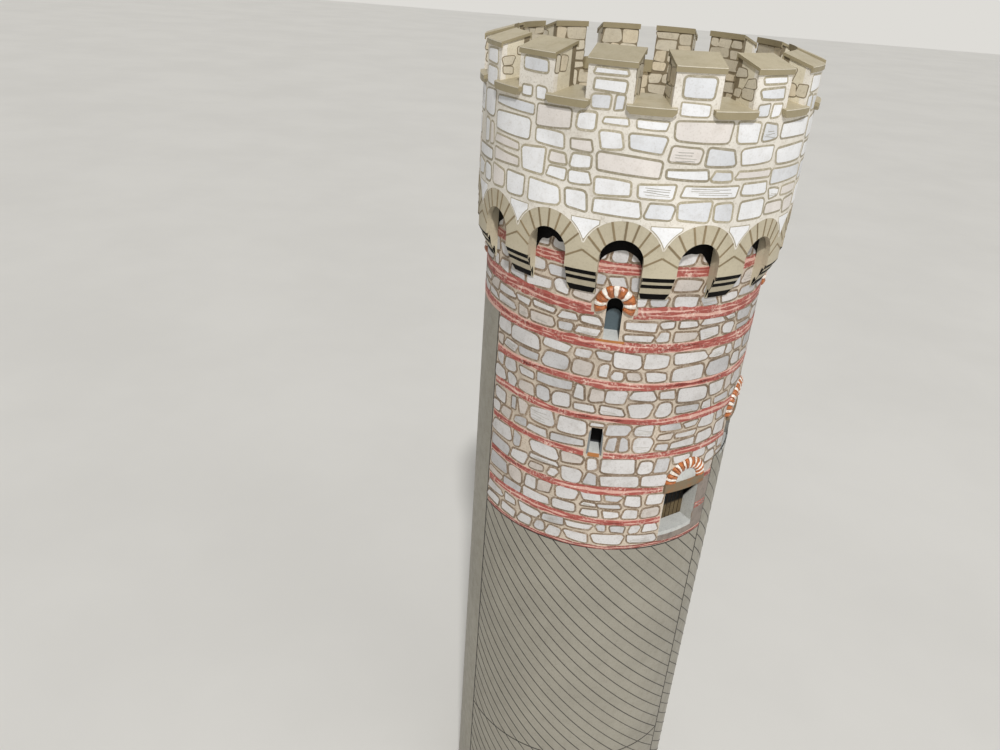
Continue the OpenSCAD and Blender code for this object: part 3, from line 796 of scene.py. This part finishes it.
def bare_strips():
    """The bare strips at both sides, over the print's ground."""
    strips = Sheet("bare_strips", shaft, top=STRIP_H)
    doorway = keep_clear(WALK_A, WALK_HALF, WALK_Z, WALK_TOP)
    for x0, x1, top in ((HAIR - HALF_TURN, LEFT_X, LEFT_TOP), (RIGHT_X, HALF_TURN - HAIR, RIGHT_TOP)):
        for cx0, cx1, cz0, cz1 in cut_out((x0, x1, PRINT_Z, top), [doorway], least=0.05):
            strips.band(span(cx0, cx1), cz0, cz1)
    strips.finish(bare_card, "bare_card")


# Painted shadow behind the arches, as black plates: how far it hangs down, and the wave of its foot
SHADE_DROP, RAGGED, SHADE_STEP = 3.2, (0.25, 30, 90), 0.4


def painted_arch_shadows():
    """Painted shadow on the shaft behind the arches, as black plates."""
    shades = Sheet("painted_arch_shadows", shaft, top=SHADE_H)
    side = (PITCH / 2 - CORBEL_HALF) * SHAFT_R + 0.1
    for a in bay_as:
        x0, ragged = a * SHAFT_R, wave(*RAGGED)
        xs = span(x0 - side, x0 + side, SHADE_STEP)
        foot = [SPRING_Z - SHADE_DROP + ragged(x / SHAFT_R)
                + sqrt(max(0.0, ARCH_R ** 2 - (x - x0) ** 2)) for x in xs]
        shades.plate(list(zip(xs, foot)), [(x, SOFFIT_Z) for x in xs])
    shades.finish(black, "black_card")


# Print and painted shade round the openings


def opening_print():
    """Orange ledges under the windows and the slot, and the slot's grey margins."""
    margins = Sheet("opening_margins", shaft, top=BAND_H)
    ledges = Sheet("opening_ledges", shaft, top=LEDGE_H)
    for a in WINDOW_AS:
        x = a * SHAFT_R
        ledges.band(span(x - 3.4, x + 3.2), WINDOW_Z - 0.55, WINDOW_Z - 0.02)
    x = SLOT_A * SHAFT_R
    ledges.band((x - 1.5, x + 1.3), SLOT_Z - 1.05, SLOT_Z - 0.03)
    margins.plate([(x - SLOT_HALF - 0.55, SLOT_Z - 0.6), (x - SLOT_HALF, SLOT_Z - 0.1)],
                  [(x - SLOT_HALF - 0.4, SLOT_TOP - 1.5), (x - SLOT_HALF, SLOT_TOP - 0.4)], 0.75)
    margins.plate([(x + SLOT_HALF, SLOT_Z - 0.1), (x + SLOT_HALF + 0.5, SLOT_Z - 0.6)],
                  [(x + SLOT_HALF, SLOT_TOP - 0.4), (x + SLOT_HALF + 0.35, SLOT_TOP - 2.0)], 0.6)
    margins.finish(margin, "sill_grey")
    ledges.finish(ledge, "trim_orange")


SURROUND_DROP = 1.9


def door_surround():
    """Painted shade under the entrance, and from it to the bare strip at the right: a plain grey-brown plate
    over the print.
    """
    surround = Sheet("door_surround", shaft, top=SURROUND_H)
    left, right = DOOR_A * SHAFT_R - DOOR_HALF, DOOR_A * SHAFT_R + DOOR_HALF
    for x0, x1, top in ((left, right, DOOR_Z), (right, RIGHT_X - RIM_W / 2, DOOR_TOP)):
        surround.band(span(x0 + HAIR, x1), DOOR_Z - SURROUND_DROP, top - HAIR)
    surround.finish(painted_shade_ground, "stone_print")


def door_reveals():
    """The wall's cut edges beside the doors carry on the colour of the recess."""
    for name, angle, half, z0, z1, look in (
            ("door_reveals", DOOR_A, DOOR_HALF, DOOR_Z, DOOR_TOP, door_dark),
            ("walk_door_reveals", WALK_A, WALK_HALF, WALK_Z, WALK_TOP, walk_dark)):
        sheet = Sheet(name, base=-0.03, top=0.03)
        r0, r1 = (sqrt(r * r - half * half) for r in (SHAFT_R - CARD_T, SHAFT_R))
        for hand in (-1, 1):
            spot = on_plane(along(angle) * hand * half, outward(angle) * hand, UP)
            sheet.band(sorted((hand * r0, hand * r1)), z0 + DOOR_SILL_H, z1 - 0.05, place=spot)
        sheet.finish(look, "recess_card")


# The arches and corbels

# Joints fan out from the arch's edge at these angles, give or take JOINT_STRAY, and lean a little
# upright. The lowest pair of two arches meets over the pier like a roof.
JOINT_ANGLES, JOINT_STRAY, FAN = (20, 45, 68, 90, 113, 136, 160), 3, 0.84
JOINT_MARKS, JOINT_WIDTHS, JOINT_TINTS = (0, 0.35, 0.7, 1), (0.36, 0.5), (0.85, 1.1)
JOINT_FROM = ARCH_R + 0.05
ROOF_LOW, ROOF_TOP, ROOF_W = -0.5, 1.5, 0.42
SPANDREL_STEP = 0.45
ring_xs = bay_xs + [bay_xs[0] - PITCH * DRUM_R]


def ring_top(x):
    """Height of the outer edge of the nearest arch's ring."""
    d = min(abs(x - b) for b in ring_xs)
    return SPRING_Z + sqrt(max(0.0, RING_R ** 2 - d * d))


def arch_print():
    """Pale ground over the arches' rings, and the joints between a ring's blocks."""
    spandrels = Sheet("arch_spandrels", drum, top=SPANDREL_H)
    joints = Sheet("arch_joints", drum, top=LINE_H)
    for x in pier_xs:
        xs = span(x - PIER_REACH, x + PIER_REACH, SPANDREL_STEP)
        spandrels.plate([(a, ring_top(a)) for a in xs], [(a, DRUM_Z) for a in xs])
    for x in bay_xs:
        for degrees in JOINT_ANGLES:
            a = radians(degrees + rng.uniform(-JOINT_STRAY, JOINT_STRAY))
            b = pi / 2 + (a - pi / 2) * FAN
            reach = min(RING_R, (PIER_REACH - 0.1) / max(abs(cos(b)), 0.01))
            x0, z0 = JOINT_FROM * cos(a), JOINT_FROM * sin(a)
            x1, z1 = reach * cos(b), reach * sin(b)
            points = [(x + x0 + (x1 - x0) * t, SPRING_Z + z0 + (z1 - z0) * t) for t in JOINT_MARKS]
            joints.line(points, rng.uniform(*JOINT_WIDTHS), rng.uniform(*JOINT_TINTS))
        for hand in (-1, 1):
            ends = [(x + hand * JOINT_FROM, SPRING_Z + ROOF_LOW),
                    (x + hand * PIER_REACH, SPRING_Z + ROOF_TOP)]
            joints.line(sorted(ends), ROOF_W, rng.uniform(*JOINT_TINTS))
    spandrels.finish(pale_ground, "stone_print")
    joints.finish(joint, "beige_card")


# The corbels' noses: each stripe's top and foot as shares of the slope, and how far its foot is cut in
NOSE_R, NOSE_D = SHAFT_R + FOOT_D, DRUM_R - SHAFT_R - FOOT_D
SLOPE_L = hypot(NOSE_D, BEND_Z - FOOT_Z)
STRIPES = [(0.0, 0.17, 0.0), (0.31, 0.46, 0.0), (0.73, 0.985, 0.6)]
slope = on_cone(DRUM_R, BEND_Z, NOSE_R, FOOT_Z)

# The corbels' sides: a black rim, with a ragged tooth where each stripe wraps round. A tooth has a place
# as a share of the slope, a height, half a width and a share by which the height strays.
TEETH, TOOTH_HALF, TOOTH_STRAY = [(0.08, 1.0), (0.38, 1.3), (0.86, 1.5)], 0.13, (0.7, 1.1)
RIM, RIM_LIFT, RIM_OVER = 0.2, 0.06, 0.9


def corbel_stripes():
    """Black stripes across the corbels' noses."""
    stripes = Sheet("corbel_stripes", slope, top=STRIPE_H)
    wide = CORBEL_HALF * DRUM_R - 0.03
    for x in pier_xs:
        for a, b, cut in STRIPES:
            top, foot = -a * SLOPE_L, -b * SLOPE_L
            stripes.plate([(x - wide + cut, foot), (x, foot), (x + wide - cut, foot)],
                          [(x - wide, top), (x, top), (x + wide, top)])
    stripes.finish(black, "black_card")


def flank_lines(hand):
    """Lower and upper edge of the black rim on a corbel's side, by distance from the axis."""
    low, high = [], []
    for t in span(0.02, 0.98, 0.05):
        r = NOSE_R + NOSE_D * t
        z = FOOT_Z + (BEND_Z - FOOT_Z) * t + RIM_LIFT
        teeth = sum(h * max(0.0, 1 - ((1 - t - f) / TOOTH_HALF) ** 2) for f, h in TEETH)
        rise = RIM + teeth * rng.uniform(*TOOTH_STRAY)
        low.append((-hand * r, z))
        high.append((-hand * r, min(z + rise, BEND_Z + RIM_OVER)))
    return (low, high) if low[0][0] < low[-1][0] else (low[::-1], high[::-1])


def corbel_flanks():
    """Black rims along the slopes of the corbels' sides."""
    flanks = Sheet("corbel_flanks", base=-0.04, top=0.04)
    for x in pier_xs:
        for hand in (-1, 1):
            a = x / DRUM_R + hand * CORBEL_HALF
            spot = on_plane(Vector((0, 0, 0)), outward(a) * -hand, UP)
            flanks.plate(*flank_lines(hand), place=spot)
    flanks.finish(black, "black_card")


# The drum's and the merlons' stones

ASHLAR = Look(gap=0.7, skew=0.4, rounding=(0.06, 0.26), bow=0.22, outline=0.46,
              tints=[WHITE, WHITE, WHITE, WARM, WARM, GREY], shade=0.95)
FACING = Look(gap=0.4, skew=0.25, rounding=(0.05, 0.24), bow=0.15, outline=0.42,
              tints=[WHITE, WHITE, WHITE, GREY], shade=0.96)
ASHLAR_SIZE, FACING_SIZE = (12.5, 6.6), (8.6, 4.8)
RING_GAP = 0.25
RINGS_TOP = SPRING_Z + RING_R + RING_GAP

# Pointed stones between the arches: outline, distance of their top from the rings' top, half width
VALLEY_LINE, VALLEY_TOPS, VALLEY_HALVES, VALLEY_STEP = 0.2, (0.3, 0.8), (2.6, 3.6), 0.3


def valley_stones(fills, edges):
    """Over each pier a white stone that runs down to a point between two arches."""
    for x in pier_xs:
        top, half = RINGS_TOP - rng.uniform(*VALLEY_TOPS), rng.uniform(*VALLEY_HALVES)
        for sheet, inset in ((edges, 0.0), (fills, VALLEY_LINE)):
            ring = RING_R + RING_GAP + inset
            steps = span(inset - half, half - inset, VALLEY_STEP)
            lower = [SPRING_Z + sqrt(ring ** 2 - (PIER_REACH - abs(d)) ** 2) for d in steps]
            sheet.plate([(x + d, z) for d, z in zip(steps, lower)], [(x + d, top - inset) for d in steps])


def merlon_stones(sheets):
    """Stones on the merlons' fronts, round the sills' drooping lips."""
    half = (PITCH / 2 - GAP_HALF) * DRUM_R
    for a in gap_as:
        mid = (a + PITCH / 2) * DRUM_R
        lips = [(c - LIP_HALF * DRUM_R, c + LIP_HALF * DRUM_R, NOTCH_Z - 0.5, NOTCH_Z + LIP_H + 0.1)
                for c in (a * DRUM_R, (a + PITCH) * DRUM_R)]
        for part in cut_out((mid - half, mid + half, NOTCH_Z - 0.2, CAP_FOOT - 0.05), lips):
            lay_stones(sheets, split(part, FACING_SIZE), FACING)


def drum_stones():
    """Large pale stones over the arches and on the merlons."""
    sheets = stone_sheets("drum", drum)
    rings = [(x, SPRING_Z, RING_R + RING_GAP) for x in ring_xs]
    rects = split((-DRUM_TURN, DRUM_TURN, RINGS_TOP, NOTCH_Z - 0.3), ASHLAR_SIZE)
    lay_stones(sheets, rects, ASHLAR, rings, drawn=True)
    valley_stones(*sheets[:2])
    merlon_stones(sheets)
    finish_all(sheets, (drum_fill, drum_edge, pencil), "stone_print")


# The tan stones inside the parapet

LINED = Look(gap=0.0, skew=0.3, rounding=(0.08, 0.32), bow=0.15, outline=0.2,
             tints=[WHITE, WHITE, (0.93, 0.92, 0.9), (1.04, 1.0, 0.94)], shade=0.9)
LINING_SIZE, BACK_SIZE, PATCH_SIZE, FLAG_SIZE = (6.4, 4.2), (5.8, 4.0), (4.2, 3.4), (6.5, 4.6)
BACK_TOP = CAP_FOOT + CAP_RISE - 0.1
BACK_HALF = asin(MERLON_HALF / INNER_R) * INNER_R
CHEEK_Z = NOTCH_Z + LIP_H + SILL_RISE + 0.1

# Share of a cheek's stones that are printed, and width of the deck's bare rim
PATCHES, DECK_RIM = 0.6, 0.4


def cheek_stones(sheets):
    """Stones on parts of the merlons' flat ends, over the sills, which slope up to the inside."""
    r0, r1 = (sqrt(r * r - MERLON_HALF ** 2) for r in (INNER_R, DRUM_R))
    for a in gap_as:
        mid = a + PITCH / 2
        for hand in (-1, 1):
            spot = on_plane(along(mid) * hand * MERLON_HALF, outward(mid) * -hand, UP)
            x0, x1 = (-r1 + 0.1, -r0 - 0.1) if hand > 0 else (r0 + 0.1, r1 - 0.1)
            rects = split((x0, x1, CHEEK_Z, CAP_FOOT + CAP_LIP - 0.1), PATCH_SIZE)
            lay_stones(sheets, [r for r in rects if rng.random() < PATCHES], LINED, place=spot)


def flagstones(sheets):
    """Flagstones of the deck, inside the parapet."""
    flat = on_plane(Vector((0, 0, DECK_Z)), Vector((1, 0, 0)), Vector((0, 1, 0)))
    flags = [r for r in split((-INNER_R, INNER_R, -INNER_R, INNER_R), FLAG_SIZE)
             if max(hypot(x, y) for x in r[:2] for y in r[2:]) < INNER_R - DECK_RIM]
    lay_stones(sheets, flags, LINED, place=flat)


def parapet_stones():
    """Tan stones of the parapet's lining, the merlons' backs and cheeks, and the deck."""
    sheets = stone_sheets("parapet", on_cylinder(INNER_R, side=-1))
    lay_stones(sheets, split((-INNER_TURN, INNER_TURN, DECK_Z + 0.1, NOTCH_Z - 0.1), LINING_SIZE), LINED)
    for a in gap_as:
        mid = -(a + PITCH / 2) * INNER_R
        lay_stones(sheets, split((mid - BACK_HALF, mid + BACK_HALF, NOTCH_Z, BACK_TOP), BACK_SIZE), LINED)
    cheek_stones(sheets)
    flagstones(sheets)
    finish_all(sheets, (tan_fill, tan_edge), "tan_print")


# Worn folds of the caps and sills, and the doors' boards

FOLD_W, FOLD_TINTS = 0.16, (0.85, 1.0)
CAP_R = DRUM_R + CAP_OVER
CAP_HALF = asin((MERLON_HALF + CAP_OVER) / CAP_R)
CAP_EDGE, LIP_EDGE = CAP_TOP - CAP_RISE - 0.12, NOTCH_Z + LIP_H - 0.1
BOARDS, BOARD_LINE_W, BOARD_STRAY = 8, 0.16, 0.1


def worn_folds():
    """Pale lines along every cap's outer edge and along the top of every sill's lip."""
    folds = Sheet("worn_folds", base=-0.02)
    for a in gap_as:
        for mid, half, radius, z in ((a + PITCH / 2, CAP_HALF, CAP_R, CAP_EDGE),
                                     (a, LIP_HALF, LIP_R, LIP_EDGE)):
            xs = span((mid - half) * radius + 0.1, (mid + half) * radius - 0.1)
            folds.line([(x, z) for x in xs], FOLD_W, rng.uniform(*FOLD_TINTS), on_cylinder(radius))
    folds.finish(worn, "cap_khaki")


def door_boards():
    """Dark lines between the boards of both door leaves."""
    boards = Sheet("door_boards", base=-0.03, top=STRIPE_H)
    for node, half, angle in (("door_leaf", DOOR_HALF, DOOR_A), ("walk_door_leaf", WALK_HALF, WALK_A)):
        z0, z1 = heights(node)
        face = max(Vector(v.co).dot(outward(angle)) / MM for v in nodes[node].data.vertices)
        spot = on_plane(outward(angle) * face, along(angle), UP)
        for i in range(1, BOARDS):
            x = -half + 2 * half * i / BOARDS
            top = (x + rng.uniform(-BOARD_STRAY, BOARD_STRAY), z1 - 0.05)
            boards.line([(x, z0 + 0.05), top], BOARD_LINE_W, place=spot)
    boards.finish(board, "door_brown")


# In this order, because they share the random numbers
for draw in (shaft_stones, red_courses, printed_lines, bare_strips, painted_arch_shadows, opening_print,
             door_surround, door_reveals, arch_print, corbel_stripes, corbel_flanks, drum_stones,
             parapet_stones, worn_folds, door_boards):
    draw()


# Floor, light and camera

LAMP_AIM, LAMP_AWAY = Vector((0, 0, 0.15)), 1.2


def floor(s=4.0):
    """A pale floor under the keep, s metres to each side."""
    mesh = bpy.data.meshes.new("floor")
    mesh.from_pydata([(-s, -s, 0), (s, -s, 0), (s, s, 0), (-s, s, 0)], [], [(0, 1, 2, 3)])
    n = Surface("floor_pale")
    colour = n.mix(n.grain(FLOOR_CLOUDS), rgb("dedcd7"), rgb("d9d7d2"))
    mesh.materials.append(n.done(colour, 0.8, Specular_IOR_Level=0.1))
    obj = new_object("floor", mesh)


def lamp(kind, name, energy, azimuth, elevation, **settings):
    """A lamp that shines on the keep from the azimuth and elevation, in degrees."""
    data = bpy.data.lights.new(name, kind)
    data.energy = energy
    for key, value in settings.items():
        setattr(data, key, value)
    obj = new_object(name, data)
    a, e = radians(azimuth), radians(elevation)
    back = Vector((sin(a) * cos(e), -cos(a) * cos(e), sin(e)))
    obj.location = LAMP_AIM + back * LAMP_AWAY
    obj.rotation_euler = (-back).to_track_quat("-Z", "Y").to_euler()


def surroundings():
    """A dim pale sky, seen brighter by the camera and in reflections."""
    world = bpy.data.worlds.new("studio")
    bpy.context.scene.world = world
    n = Nodes(world)
    light = n.tree.nodes["Background"]
    n.fill(light, {"Color": rgb("f4f3f0"), "Strength": 0.27})
    shown = n.add("Background", {"Color": rgb("dedcd7"), "Strength": 1.0})
    path = n.add("LightPath", {})
    either = n.math("MAXIMUM", path.outputs["Is Camera Ray"], path.outputs["Is Glossy Ray"])
    choice = n.add("MixShader", {0: either, 1: light.outputs[0], 2: shown.outputs[0]})
    n.fill(n.tree.nodes["World Output"], {"Surface": choice.outputs[0]})


# The camera, from a fit of the tower's rings to the photo
FOCAL_PX, IMAGE_W = 821.12, 1000
SENSOR, CLIP_FROM = 36.0, 0.01
CAMERA_AT = Vector((1.229, -206.219, 275.831)) * MM
TURN, PITCH_DOWN, ROLL = 8.589, -27.363, 3.999


def photo_camera():
    """The camera that looks as the photo's does."""
    camera = new_object("camera", bpy.data.cameras.new("camera"))
    camera.data.sensor_width = SENSOR
    camera.data.lens = FOCAL_PX * SENSOR / IMAGE_W
    camera.data.clip_start = CLIP_FROM
    camera.matrix_world = (Matrix.Translation(CAMERA_AT) @ Matrix.Rotation(radians(TURN), 4, "Z")
                           @ Matrix.Rotation(radians(90 + PITCH_DOWN), 4, "X")
                           @ Matrix.Rotation(radians(ROLL), 4, "Z"))
    bpy.context.scene.camera = camera
    bpy.context.scene.view_settings.view_transform = "Standard"


floor()
lamp("SUN", "key", 2.4, 10.0, 50.0, angle=radians(4))
lamp("AREA", "fill", 3.0, 40.0, 30.0, size=1.2)
surroundings()
photo_camera()
